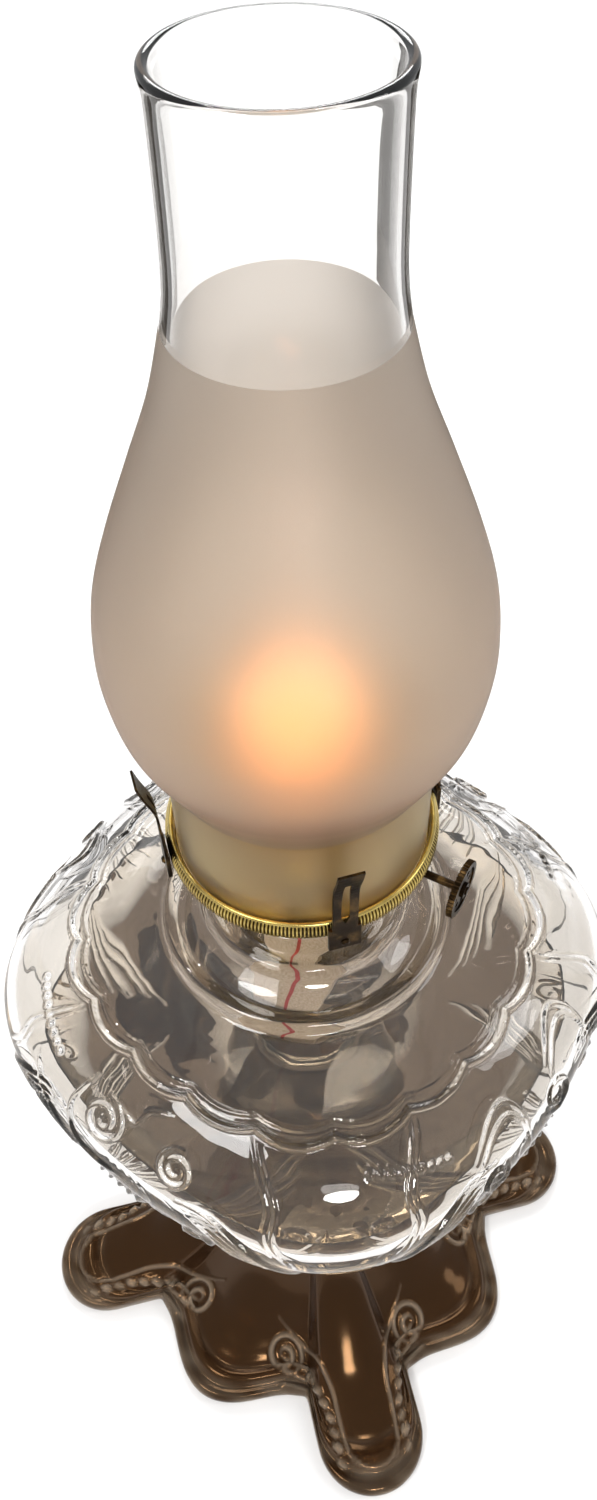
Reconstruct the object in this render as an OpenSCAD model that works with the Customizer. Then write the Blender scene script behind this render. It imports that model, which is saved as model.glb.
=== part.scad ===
// Pressed-glass oil lamp with a flat-wick burner, a four-prong gallery and a bulb chimney.
// +Z is up, the table is z = 0, and the four corners of the font lie on the X and Y axes.

/* [Glass base] */
// Reach of each foot's tip from the lamp's axis
foot_reach = 131.5; // [122:0.5:134]
// Half-width of a foot
foot_half_w = 24.5; // [20:0.5:28]
// Radius of the base in the notches between feet and lobes
base_notch_r = 88; // [84:1:92]
// How far each lobe between two feet stands out past the notches
base_lobe = 14; // [6:1:16]
// Height of the base, from the table to the top of its stem
base_h = 188; // [180:1:190]
// Turn of the feet from the font's corners, where the two pressings were joined
base_turn = 7; // [0:1:10]
// Thickness of the joining wafer between base and font
wafer_t = 4; // [2:0.5:5]

/* [Font] */
// Radius of the font at its widest, between corners and flats
font_r = 102.4; // [98:0.2:106]
// How far the four corners swell, and the four flats pull in
font_swell = 4.2; // [2:0.2:6]
// Glass thickness of the font
font_wall = 4.5; // [3.5:0.5:6]
// Depth of the oil
oil_depth = 36; // [20:1:40]

/* [Collar] */
// Outer radius of the font's glass neck
neck_r = 20.5; // [20:0.1:21]
// Bore radius of the brass collar that takes the burner
collar_bore_r = 16.2; // [16:0.1:16.5]

/* [Burner] */
// Height of the gallery's lower edge above the table
gallery_z = 338; // [337:0.5:339]
// Radius over the gallery's knurled band
gallery_r = 41.5; // [41:0.1:42.5]
// Ridges round the knurled band
gallery_ridges = 236; // [60:2:260]
// Direction of the thumbwheel's shaft
shaft_az = -35; // [-45:1:-25]
// Distance of the shaft from the wick's mid-plane
shaft_off = 5.5; // [5.4:0.1:6]
// Height of the shaft below the gallery's lower edge
shaft_drop = 8; // [7.5:0.5:8.5]
// Radius of the shaft
shaft_r = 1.3; // [1:0.1:1.4]
// Radius of the thumbwheel
thumb_r = 9.3; // [8:0.1:11]
// Distance of the thumbwheel's face from the lamp's axis
thumb_reach = 52; // [48:1:60]

/* [Prongs] */
// Direction of the first prong
prong_az = -80; // [-84:1:-76]
// Width of a prong's blade
prong_w = 7.4; // [6:0.2:8.5]
// Height of a prong's tip above the gallery's lower edge
prong_h = 38; // [32:1:42]
// Sheet thickness of a prong
prong_t = 0.7; // [0.5:0.1:1]

/* [Wick] */
// Width of the flat wick
wick_w = 25.4; // [24:0.2:25.6]
// Thickness of the wick
wick_t = 2.2; // [1.6:0.1:2.4]

/* [Chimney] */
// Outer radius of the chimney's fitter
fitter_r = 38.1; // [37.8:0.1:38.2]
// Outer radius of the chimney at its widest
bulb_r = 51.1; // [48:0.1:54]
// Outer radius of the chimney's tube near the top
top_r = 23.7; // [22:0.1:26]
// Height of the chimney
chimney_h = 214.5; // [205:0.5:225]
// Glass thickness of the chimney
chimney_wall = 2.3; // [1.8:0.1:2.8]

/* [Hidden] */

$fn = 96;
eps = 0.01;
glass = [0.86, 0.89, 0.88, 0.45];
brass = [0.80, 0.62, 0.28];
bronze = [0.33, 0.24, 0.13];

// Columns round each pressed-glass shell
base_cols = 120;
font_cols = 96;

// Heights that the pieces share
font_foot_z = base_h + wafer_t;
widest_z = gallery_z - 83;
neck_top_z = gallery_z - 24;
collar_top_z = neck_top_z + 9.5;
shaft_z = gallery_z - shaft_drop;
band_h = 4.3;
sheet = 0.6;
run_gap = 0.3;
neck_bore_r = collar_bore_r + 0.4;
cement_t = 1;
spur_r = shaft_off - wick_t / 2 - 0.25;
tube_w = wick_w + 1.4;
tube_gap = wick_t + 0.8;
prong_in_r = gallery_r + run_gap;

// ---- curves and outlines ----

// One point on a Catmull-Rom curve from b to c
function curve_point(a, b, c, d, t) =
    0.5 * (2 * b + (c - a) * t + (2 * a - 5 * b + 4 * c - d) * t * t
        + (3 * b - a - 3 * c + d) * t * t * t);

// A smooth curve through the points, with n steps between each pair
function smooth(pts, n) = let (last = len(pts) - 1) concat(
    [for (i = [0 : last - 1], k = [0 : n - 1])
        curve_point(pts[max(i - 1, 0)], pts[i], pts[i + 1], pts[min(i + 2, last)], k / n)],
    [pts[last]]);

// The path moved sideways to its left by t
function beside(path, t) = let (last = len(path) - 1) [
    for (i = [0 : last])
        let (d = path[min(i + 1, last)] - path[max(i - 1, 0)])
        path[i] + t * [-d[1], d[0]] / norm(d)
];

function backwards(path) = [for (i = [len(path) - 1 : -1 : 0]) path[i]];

// Outline of a sheet of thickness t to the left of the path
function sheet_outline(path, t) = concat(path, backwards(beside(path, t)));

// A round outline with teeth: n ridges from radius low to radius high
function toothed(n, low, high) = [
    for (i = [0 : 2 * n - 1])
        let (r = i % 2 == 0 ? high : low)
        r * [cos(180 * i / n), sin(180 * i / n)]
];

// A closed shell swept round the axis. Each profile row is [radius, share of the swell, height],
// swell holds one extra radius per column, and the shell closes on the axis at both ends.
module swept_shell(profile, swell) {
    cols = len(swell);
    rows = len(profile);
    rings = [
        for (p = profile, j = [0 : cols - 1])
            let (r = p[0] + p[1] * swell[j], a = 360 * j / cols)
            [r * cos(a), r * sin(a), p[2]]
    ];
    start = rows * cols;
    poles = [[0, 0, profile[0][2]], [0, 0, profile[rows - 1][2]]];
    sides = [
        for (i = [0 : rows - 2], j = [0 : cols - 1], half = [0, 1])
            let (k = (j + 1) % cols, a = i * cols + j, b = i * cols + k, c = a + cols, d = b + cols)
            half == 0 ? [a, c, d] : [a, d, b]
    ];
    first_fan = [for (j = [0 : cols - 1]) [start, j, (j + 1) % cols]];
    last_fan = [
        for (j = [0 : cols - 1])
            [start + 1, (rows - 1) * cols + (j + 1) % cols, (rows - 1) * cols + j]
    ];
    polyhedron(points = concat(rings, poles), faces = concat(first_fan, sides, last_fan));
}

// ---- glass base and font ----

// Angle from the nearest foot's centre line
function off_foot(a) = abs((a + 45) % 90 - 45);

// Radius of a foot's outline: a tongue with a round tip
function foot_outline(d) = let (c = foot_reach - foot_half_w)
    d < asin(foot_half_w / c) * 0.98
        ? c * cos(d) + sqrt(max(0, foot_half_w * foot_half_w - pow(c * sin(d), 2)))
        : foot_half_w / sin(d);

// Radius of the scalloped edge between two feet
function lobe_outline(d) = base_notch_r + base_lobe * pow(sin(min(180, max(0, (d - 20) * 180 / 50))), 2);

base_swell = [
    for (j = [0 : base_cols - 1])
        let (d = off_foot(360 * j / base_cols))
        max(foot_outline(d), lobe_outline(d)) - base_notch_r
];
font_lobes = [for (j = [0 : font_cols - 1]) font_swell * cos(4 * 360 * j / font_cols)];

base_under = [[8, 0, 60], [24, 0.02, 51], [38, 0.12, 35], [56, 0.4, 17], [73, 0.72, 8], [80, 0.9, 0]];
base_over = [
    [86.5, 0.98, 0], [base_notch_r, 1, 4], [85, 0.95, 9.5], [76, 0.75, 14.5], [60, 0.42, 25],
    [46, 0.18, 42], [34, 0.06, 66], [26, 0, 96], [22, 0, 134], [21, 0, 160],
    [25, 0, base_h - 12], [24, 0, base_h - 5], [19, 0, base_h]
];

font_outside = [
    [18, 0, font_foot_z], [30, 0.1, font_foot_z + 7], [60, 0.5, font_foot_z + 20],
    [92, 0.9, font_foot_z + 42], [font_r, 1, widest_z], [93, 0.9, widest_z + 17],
    [77, 0.6, widest_z + 29], [60, 0.25, widest_z + 35], [46.5, 0, widest_z + 38]
];
font_neck = [
    [45, 0, gallery_z - 44], [38, 0, gallery_z - 39.5], [33, 0, gallery_z - 37],
    [32, 0, gallery_z - 34], [28, 0, gallery_z - 32], [neck_r + 0.8, 0, gallery_z - 31.5],
    [neck_r, 0, gallery_z - 31], [neck_r, 0, neck_top_z], [neck_bore_r, 0, neck_top_z]
];
font_inside = [
    [neck_bore_r, 0, gallery_z - 35], [24, 0, gallery_z - 38], [34, 0, gallery_z - 43],
    [46, 0.05, gallery_z - 50], [60, 0.25, widest_z + 30], [76, 0.6, widest_z + 23],
    [89, 0.9, widest_z + 13], [font_r - font_wall, 1, widest_z],
    [86, 0.9, font_foot_z + 46], [56, 0.5, font_foot_z + 26], [28, 0.1, font_foot_z + 14],
    [6, 0, font_foot_z + 12]
];

module base() {
    color(glass)
        rotate([0, 0, base_turn])
        swept_shell(concat(smooth(base_under, 2), smooth(base_over, 2)), base_swell);
}

module joining_wafer() {
    color(glass)
        translate([0, 0, base_h])
        rotate_extrude()
        difference() {
            union() {
                square([17, wafer_t]);
                translate([17, wafer_t / 2]) circle(d = wafer_t);
            }
            translate([-wafer_t, -eps]) square([wafer_t, 2 * wafer_t]);
        }
}

module font() {
    color(glass)
        swept_shell(concat(smooth(font_outside, 2), font_neck, smooth(font_inside, 2)), font_lobes);
}

// Fuel in the bottom of the font, with a well that the wick travels in
module lamp_oil() {
    floor_z = font_foot_z + 14;
    side = [
        [20, floor_z + 0.8], [50, floor_z + 11.5], [76, floor_z + 27], [82, floor_z + oil_depth]
    ];
    color([0.95, 0.93, 0.80, 0.5])
        difference() {
            rotate_extrude()
                polygon(concat([[0, floor_z]], side, [[0, floor_z + oil_depth]]));
            rotate([0, 0, shaft_az])
                translate([-wick_w / 2 - 1, -26, floor_z + 4])
                cube([wick_w + 2, 31, oil_depth]);
        }
}

// ---- collar ----

module collar() {
    skirt_r = neck_r + cement_t + 0.2;
    color(brass)
        rotate_extrude()
        difference() {
            union() {
                translate([0, neck_top_z - 6]) square([skirt_r + 0.8, 7.2]);
                translate([0, neck_top_z]) square([collar_bore_r + 1.3, collar_top_z - neck_top_z]);
                translate([skirt_r + 0.4, neck_top_z - 5.4]) circle(r = 0.8);
                translate([collar_bore_r + 0.9, collar_top_z - 0.9]) circle(r = 0.9);
            }
            translate([-1, neck_top_z - 7]) square([skirt_r + 1, 7.2]);
            translate([-1, neck_top_z - 1]) square([collar_bore_r + 1, 20]);
        }
}

module collar_cement() {
    color([0.85, 0.82, 0.74])
        translate([0, 0, neck_top_z - 6])
        difference() {
            cylinder(r = neck_r + cement_t + 0.15, h = 6);
            translate([0, 0, -1]) cylinder(r = neck_r + 0.05, h = 8);
        }
}

// ---- burner ----

// Threaded sleeve with its flange
module burner_base() {
    sleeve_r = collar_bore_r - run_gap;
    bottom_z = neck_top_z + 1.5;
    top_z = collar_top_z + 2;
    threads = 5;
    color(brass)
        rotate_extrude()
        difference() {
            union() {
                translate([0, bottom_z]) square([sleeve_r - 0.5, top_z - bottom_z]);
                for (i = [0 : threads - 1])
                    translate([sleeve_r - 0.5, bottom_z + 1 + 1.7 * i]) circle(r = 0.5);
                translate([0, collar_top_z + run_gap]) square([24, 1.2]);
            }
            translate([-1, bottom_z - 1]) square([sleeve_r - 0.3, 20]);
        }
}

basket_path = smooth([
    [23, collar_top_z + 1.6], [27, collar_top_z + 3], [31.5, gallery_z - 7.5],
    [35, gallery_z - 2.4], [36.5, gallery_z - 0.7]
], 3);

// Perforated cup that lets air in below the gallery
module burner_basket() {
    holes = 28;
    color(brass)
        difference() {
            union() {
                rotate_extrude() polygon(sheet_outline(basket_path, sheet));
                translate([0, 0, gallery_z - 0.7]) difference() {
                    cylinder(r = 38, h = 0.6);
                    translate([0, 0, -1]) cylinder(r = 35.9, h = 3);
                }
            }
            for (i = [0 : holes - 1])
                rotate([0, 0, 360 * (i + 0.5) / holes])
                    translate([24, 0, gallery_z - 4])
                    rotate([0, 90, 0])
                    cylinder(r = 1.2, h = 20, $fn = 24);
            rotate([0, 0, shaft_az])
                translate([20, shaft_off, shaft_z])
                rotate([0, 90, 0])
                cylinder(r = 2.4, h = 30);
        }
}

// Knurled band with a rolled lip, and the ledge that the chimney stands on
module gallery_ring() {
    bore_r = fitter_r + 0.5;
    lip_r = 0.9;
    color(brass)
        difference() {
            union() {
                translate([0, 0, gallery_z + 0.7])
                    linear_extrude(band_h - 1)
                    polygon(toothed(gallery_ridges, gallery_r - 0.55, gallery_r));
                translate([0, 0, gallery_z]) cylinder(r = gallery_r - 0.3, h = band_h + 0.4);
                rotate_extrude()
                    translate([gallery_r - lip_r, gallery_z + band_h + 0.4])
                    circle(r = lip_r, $fn = 24);
            }
            translate([0, 0, gallery_z + 0.8]) cylinder(r = bore_r, h = 12);
            translate([0, 0, gallery_z - 2]) cylinder(r = 33, h = 12);
        }
}

// Flat plan with round ends, w long and t wide
module slot_plan(w, t) {
    square([w - t, t], center = true);
    for (s = [-1, 1])
        translate([s * (w - t) / 2, 0]) circle(d = t, $fn = 32);
}

// Perforated plate that spreads the air
module air_diffuser() {
    plate_z = gallery_z - 4.6;
    color(brass)
        difference() {
            translate([0, 0, plate_z]) cylinder(r = 31.4, h = 0.5);
            rotate([0, 0, shaft_az]) {
                translate([0, 0, plate_z - 1]) linear_extrude(3) slot_plan(tube_w + 2.2, tube_gap + 2.2);
                translate([0, -7, plate_z - 1]) cylinder(r = 2.1, h = 3, $fn = 24);
                translate([0, shaft_off, plate_z]) cube([20, 7, 4], center = true);
            }
            for (ring = [0 : 2], i = [0 : 17 + 6 * ring])
                rotate([0, 0, shaft_az + 360 * (i + 0.5) / (18 + 6 * ring)])
                    translate([18 + 4.6 * ring, 0, plate_z - 1])
                    cylinder(r = 0.9, h = 3, $fn = 16);
        }
}

// Flat tube that guides the wick, with two windows for the spur wheels
module wick_tube() {
    low_z = neck_top_z + 3;
    high_z = gallery_z + 16;
    color(brass)
        rotate([0, 0, shaft_az])
        difference() {
            translate([0, 0, low_z])
                linear_extrude(high_z - low_z)
                difference() {
                    slot_plan(tube_w + 1, tube_gap + 1);
                    slot_plan(tube_w, tube_gap);
                }
            for (s = [-1, 1])
                translate([7 * s - 1.1, 0, shaft_z - 5]) cube([2.2, 6, 10]);
        }
}

// Small tube beside the wick tube that lets vapour out
module vent_tube() {
    color(brass)
        rotate([0, 0, shaft_az])
        translate([0, -7, neck_top_z + 4])
        difference() {
            cylinder(r = 1.7, h = gallery_z - neck_top_z + 4);
            translate([0, 0, -1]) cylinder(r = 1.2, h = 60);
        }
}

// Dome over the wick tube, slotted for the flame
module deflector_cone() {
    path = smooth([
        [34.8, gallery_z + 1.5], [33.4, gallery_z + 1.5], [32, gallery_z + 1.95],
        [30.4, gallery_z + 4.6], [28, gallery_z + 12],
        [22.5, gallery_z + 18.5], [12, gallery_z + 22.6], [0.6, gallery_z + 23.6]
    ], 3);
    color(brass)
        difference() {
            rotate_extrude() polygon(sheet_outline(path, sheet));
            rotate([0, 0, shaft_az])
                translate([0, 0, gallery_z + 14])
                linear_extrude(20)
                slot_plan(30, 7.5);
        }
}

module shaft_bush() {
    color(brass)
        rotate([0, 0, shaft_az])
        translate([27, shaft_off, shaft_z])
        rotate([0, 90, 0])
        difference() {
            cylinder(r = 2.4, h = 6);
            translate([0, 0, -1]) cylinder(r = shaft_r + 0.06, h = 8);
        }
}

// ---- wick raiser ----

module raiser_shaft() {
    low = -12;
    color(bronze)
        rotate([0, 0, shaft_az])
        translate([low, shaft_off, shaft_z])
        rotate([0, 90, 0])
        cylinder(r = shaft_r, h = thumb_reach - low + 1.2);
}

// Two star wheels that grip the wick's face
module spur_wheels() {
    color(brass)
        for (s = [-1, 1])
            rotate([0, 0, shaft_az])
                translate([7 * s - 0.6, shaft_off, shaft_z])
                rotate([0, 90, 0])
                linear_extrude(1.2)
                difference() {
                    polygon(toothed(12, spur_r - 1.1, spur_r));
                    circle(r = shaft_r);
                }
}

// Milled thumbwheel with a raised rim, a hub and pierced web
module thumbwheel() {
    web_t = 0.9;
    rim_t = 2;
    petals = 8;
    color(bronze)
        rotate([0, 0, shaft_az])
        translate([thumb_reach - rim_t, shaft_off, shaft_z])
        rotate([0, 90, 0])
        difference() {
            union() {
                linear_extrude(rim_t)
                    difference() {
                        polygon(toothed(44, thumb_r - 0.45, thumb_r));
                        circle(r = thumb_r - 1.9);
                    }
                translate([0, 0, (rim_t - web_t) / 2]) cylinder(r = thumb_r - 1.5, h = web_t);
                translate([0, 0, -0.6]) cylinder(r = 2.5, h = rim_t + 1.2);
            }
            for (i = [0 : petals - 1])
                rotate([0, 0, 360 * i / petals])
                    translate([5, 0, -1])
                    cylinder(r = 1, h = 5, $fn = 24);
            translate([0, 0, -2]) cylinder(r = shaft_r, h = 8);
        }
}

// ---- wick ----

// The wick's mid-line: straight through the burner, then a slow bend and a turned-up tail in the oil
wick_line = smooth([
    [0, gallery_z + 26], [0, gallery_z], [0, gallery_z - 30], [-0.5, gallery_z - 46],
    [-3, gallery_z - 62], [-8, gallery_z - 78], [-15, gallery_z - 93], [-17.5, gallery_z - 106],
    [-12.5, gallery_z - 116], [-3, gallery_z - 117.5]
], 3);

module wick() {
    color([0.90, 0.85, 0.74])
        rotate([0, 0, shaft_az])
        rotate([90, 0, 90])
        translate([0, 0, -wick_w / 2])
        linear_extrude(wick_w)
        polygon(sheet_outline(beside(wick_line, -wick_t / 2), wick_t));
}

// Red thread along the middle of the wick's front face
module wick_tracer() {
    thread_t = 0.3;
    thread_w = 1.2;
    low_half = [for (p = wick_line) if (p[1] < gallery_z - 30) p];
    color([0.70, 0.10, 0.08])
        rotate([0, 0, shaft_az])
        rotate([90, 0, 90])
        translate([0, 0, -thread_w / 2])
        linear_extrude(thread_w)
        polygon(sheet_outline(beside(low_half, -wick_t / 2 - thread_t), thread_t));
}

// ---- prongs ----

prong_blade = smooth([
    [prong_in_r + 0.6, gallery_z - 3.5], [prong_in_r + 0.6, gallery_z + 8],
    [prong_in_r + 0.9, gallery_z + 20], [prong_in_r + 1.6, gallery_z + 26],
    [prong_in_r + 4, gallery_z + prong_h - 5], [prong_in_r + 5.4, gallery_z + prong_h]
], 3);

function prong_dir(i) = prong_az + 90 * (i - 1);

// A sprung blade with a tall slot, on a foot plate that clips the band
module prong(i) {
    foot_w = prong_w + 2.2;
    slot_w = 2.7;
    slot_low = gallery_z + 8;
    slot_high = gallery_z + 30;
    color(bronze)
        rotate([0, 0, prong_dir(i)])
        difference() {
            union() {
                rotate([90, 0, 0])
                    translate([0, 0, -prong_w / 2])
                    linear_extrude(prong_w)
                    polygon(sheet_outline(backwards(prong_blade), prong_t));
                translate([prong_in_r, -foot_w / 2, gallery_z - 4.5]) cube([1.3, foot_w, 10]);
            }
            rotate([90, 0, 90])
                linear_extrude(80)
                polygon([
                    [0, slot_low], [slot_w / 2, slot_low + 3], [slot_w * 0.36, slot_high],
                    [-slot_w * 0.36, slot_high], [-slot_w / 2, slot_low + 3]
                ]);
        }
}

module prong_rivet(i) {
    color(bronze)
        rotate([0, 0, prong_dir(i)])
        translate([prong_in_r + 1.3, 0, gallery_z - 1.5])
        rotate([0, 90, 0]) {
            cylinder(r = 1.3, h = 0.4);
            translate([0, 0, 0.4]) cylinder(r1 = 1.3, r2 = 0.7, h = 0.5);
        }
}

// ---- chimney ----

module chimney() {
    low_z = gallery_z + 1.1;
    top_z = low_z + chimney_h;
    outer = concat(
        [[fitter_r, low_z], [fitter_r, gallery_z + 37]],
        smooth([
            [fitter_r + 0.6, gallery_z + 40], [fitter_r + 5, gallery_z + 51],
            [bulb_r - 1.4, gallery_z + 65], [bulb_r, gallery_z + 80], [bulb_r - 2, gallery_z + 98],
            [bulb_r - 9, gallery_z + 118], [bulb_r - 19.3, gallery_z + 144],
            [top_r + 1.5, gallery_z + 166], [top_r, gallery_z + 184], [top_r, top_z - 8],
            [top_r + 0.5, top_z - 1.2]
        ], 3)
    );
    color([0.93, 0.93, 0.92, 0.5])
        rotate_extrude() {
            polygon(sheet_outline(outer, chimney_wall));
            translate([top_r + 0.5 - chimney_wall / 2, top_z - chimney_wall / 2])
                circle(d = chimney_wall + 0.3, $fn = 24);
        }
}

base();
joining_wafer();
font();
lamp_oil();
collar();
collar_cement();
burner_base();
burner_basket();
gallery_ring();
air_diffuser();
wick_tube();
vent_tube();
deflector_cone();
shaft_bush();
raiser_shaft();
spur_wheels();
thumbwheel();
wick();
wick_tracer();
prong(1);  // prong_1
prong(2);  // prong_2
prong(3);  // prong_3
prong(4);  // prong_4
prong_rivet(1);  // prong_rivet_1
prong_rivet(2);  // prong_rivet_2
prong_rivet(3);  // prong_rivet_3
prong_rivet(4);  // prong_rivet_4
chimney();
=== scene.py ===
"""Looks of the pressed-glass oil lamp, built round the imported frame."""

import math

import bpy
import numpy as np
from mathutils import Matrix, Vector
from mathutils.kdtree import KDTree


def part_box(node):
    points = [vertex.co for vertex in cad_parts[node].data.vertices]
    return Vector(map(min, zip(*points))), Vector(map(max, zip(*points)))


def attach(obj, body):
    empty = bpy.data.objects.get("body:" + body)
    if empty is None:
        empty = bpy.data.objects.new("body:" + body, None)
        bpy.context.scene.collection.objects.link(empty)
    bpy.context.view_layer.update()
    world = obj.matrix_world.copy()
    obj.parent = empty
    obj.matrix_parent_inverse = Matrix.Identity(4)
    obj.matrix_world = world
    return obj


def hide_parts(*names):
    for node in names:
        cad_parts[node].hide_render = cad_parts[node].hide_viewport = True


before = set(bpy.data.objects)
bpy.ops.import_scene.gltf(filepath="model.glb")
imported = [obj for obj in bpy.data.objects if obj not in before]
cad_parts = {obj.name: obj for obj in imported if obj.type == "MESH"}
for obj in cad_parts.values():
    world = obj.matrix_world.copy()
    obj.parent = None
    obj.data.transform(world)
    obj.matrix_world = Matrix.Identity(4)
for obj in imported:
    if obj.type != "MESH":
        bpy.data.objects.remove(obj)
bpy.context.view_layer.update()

MM = 0.001

# ---------------------------------------------------------------- places from the frame, in mm


def node_box(node):
    """The lowest and highest corners of a CAD node, in mm."""
    low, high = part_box(node)
    return np.array(low) / MM, np.array(high) / MM


GALLERY_Z = node_box("gallery_ring")[0][2]
FONT_LOW, FONT_TOP = node_box("font")[0][2], node_box("font")[1][2]
STEM_TOP = node_box("base")[1][2]
FOOT_REACH = node_box("base")[1][0]
CHIMNEY_LOW, CHIMNEY_TOP = node_box("chimney")[0][2], node_box("chimney")[1][2]
BULB_R = node_box("chimney")[1][0]
WIDEST_Z = GALLERY_Z - 83  # the line round the font where it is widest
FONT_R = 102.4  # its radius there, midway between a corner and a side
FONT_SWELL = node_box("font")[1][0] - FONT_R
FITTER_R = 38.1  # the chimney's plain foot
FITTER_TOP = 39  # above the gallery's lower edge, as is FROST_RISE
FROST_RISE = 167
FROST_TOP = GALLERY_Z + FROST_RISE
FLAME_LOW = GALLERY_Z + 25
FLAME_RISE = 37
SHAFT_AZ = -35  # azimuth of the wick's wide side and of the raiser shaft, in degrees
CORNERS = (0, 90, 180, 270)  # azimuths of the font's corners
VOLUTE_PANELS, GABLE_PANELS = (45, 225), (135, 315)  # and of the sides between them


# ---------------------------------------------------------------- camera


def make_camera():
    """A camera close to the lamp and above it, looking down past the chimney's mouth."""
    azimuth, reach, rise = math.radians(-95.0), 218.4, 292.6
    pitch, heading, roll = math.radians(49.81), math.radians(4.91), math.radians(-1.92)
    place = Vector((reach * math.cos(azimuth), reach * math.sin(azimuth), GALLERY_Z + rise))
    ahead = Vector((
        math.sin(heading) * math.cos(pitch), math.cos(heading) * math.cos(pitch), -math.sin(pitch)
    ))
    level = ahead.cross(Vector((0, 0, 1))).normalized()
    level_up = level.cross(ahead)
    right = math.cos(roll) * level + math.sin(roll) * level_up
    up = -math.sin(roll) * level + math.cos(roll) * level_up
    data = bpy.data.cameras.new("camera")
    data.sensor_width = 36.0
    data.lens = 28.65
    data.clip_start, data.clip_end = 0.01, 20
    camera = bpy.data.objects.new("camera", data)
    facing = Matrix((right, up, -ahead)).transposed().to_4x4()
    camera.matrix_world = Matrix.Translation(place * MM) @ facing
    bpy.context.scene.collection.objects.link(camera)
    bpy.context.scene.camera = camera


make_camera()


# ---------------------------------------------------------------- mesh helpers


def new_piece(name, body, points, faces, look, marks):
    """A smooth mesh piece from points in mm and a list of faces, riding on a body."""
    mesh = bpy.data.meshes.new(name)
    sizes = [len(f) for f in faces]
    corners = np.concatenate([np.asarray(f, np.int32) for f in faces])
    mesh.vertices.add(len(points))
    mesh.vertices.foreach_set("co", (np.asarray(points, float) * MM).astype(np.float32).ravel())
    mesh.loops.add(len(corners))
    mesh.loops.foreach_set("vertex_index", corners)
    mesh.polygons.add(len(sizes))
    starts = np.concatenate([[0], np.cumsum(sizes)[:-1]])
    mesh.polygons.foreach_set("loop_start", starts.astype(np.int32))
    mesh.polygons.foreach_set("loop_total", np.array(sizes, np.int32))
    mesh.update(calc_edges=True)
    mesh.validate()
    mesh.polygons.foreach_set("use_smooth", np.ones(len(mesh.polygons), bool))
    mesh.materials.append(look)
    for mark, values in marks.items():
        stored = mesh.attributes.new(mark, "FLOAT", "POINT").data
        stored.foreach_set("value", np.asarray(values, np.float32))
    piece = bpy.data.objects.new(name, mesh)
    bpy.context.scene.collection.objects.link(piece)
    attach(piece, body)
    return piece


def grid_faces(rows, cols, start=0):
    """Quads of a grid of points, row by row, whose columns run round the axis."""
    i, j = np.meshgrid(np.arange(rows - 1), np.arange(cols), indexing="ij")
    k = (j + 1) % cols
    quads = np.stack([i * cols + j, i * cols + k, (i + 1) * cols + k, (i + 1) * cols + j], -1)
    return list(quads.reshape(-1, 4) + start)


def fan_faces(ring, pole, flip):
    """Triangles from a ring of point numbers to one pole."""
    after = np.roll(ring, -1)
    a, b = (after, ring) if flip else (ring, after)
    return list(np.stack([np.full(len(ring), pole), a, b], -1))


def capped(grid, poles=None):
    """Points and faces of a stack of rings with a pole at each end, on the axis if not given."""
    rows, cols = grid.shape[:2]
    count = rows * cols
    if poles is None:
        poles = [(0, 0, grid[0, 0, 2]), (0, 0, grid[-1, 0, 2])]
    faces = grid_faces(rows, cols)
    faces += fan_faces(np.arange(cols), count, True)
    faces += fan_faces(count - cols + np.arange(cols), count + 1, False)
    return np.vstack([grid.reshape(-1, 3), poles]), faces


def looped(grid):
    """Points and faces of a stack of rings whose last ring joins its first, as round a wall."""
    rows, cols = grid.shape[:2]
    i = np.arange(cols)
    last, k = (rows - 1) * cols, (i + 1) % cols
    faces = grid_faces(rows, cols) + list(np.stack([last + i, last + k, k, i], -1))
    return grid.reshape(-1, 3), faces


def curve(points, step):
    """A smooth curve through the points, with points about step apart."""
    p = np.asarray(points, float)
    padded = np.vstack([p[:1], p, p[-1:]])
    t = np.linspace(0, 1, 24, endpoint=False)[:, None]
    parts = [
        0.5 * (
            2 * b + (c - a) * t
            + (2 * a - 5 * b + 4 * c - d) * t**2
            + (3 * b - a - 3 * c + d) * t**3
        )
        for a, b, c, d in zip(padded, padded[1:], padded[2:], padded[3:])
    ]
    return spaced(np.vstack([*parts, p[-1:]]), step)


def spaced(line, step):
    """The same line with its points about step apart."""
    lengths = np.linalg.norm(np.diff(line, axis=0), axis=1)
    along = np.concatenate([[0], np.cumsum(lengths)])
    at = np.linspace(0, along[-1], max(2, int(math.ceil(along[-1] / step)) + 1))
    return np.stack([np.interp(at, along, line[:, k]) for k in range(line.shape[1])], axis=1)


def ripple(points, scale, seed, waves=7):
    """A smooth random field over points, about -1 to 1, the same every time."""
    rng = np.random.default_rng(seed)
    total = np.zeros(points.shape[:-1])
    for _ in range(waves):
        direction = rng.normal(size=3)
        direction *= rng.uniform(0.6, 1.5) / (np.linalg.norm(direction) * scale)
        total += np.sin(points @ direction * 2 * math.pi + rng.uniform(0, 2 * math.pi))
    return total / math.sqrt(waves) / 1.4


def normals_of(grid):
    """Outward unit normals of a grid of points that closes round the axis."""
    along = np.gradient(grid, axis=0)
    around = np.roll(grid, -1, axis=1) - np.roll(grid, 1, axis=1)
    n = np.cross(around, along)
    return n / np.maximum(np.linalg.norm(n, axis=-1, keepdims=True), 1e-9)


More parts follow.
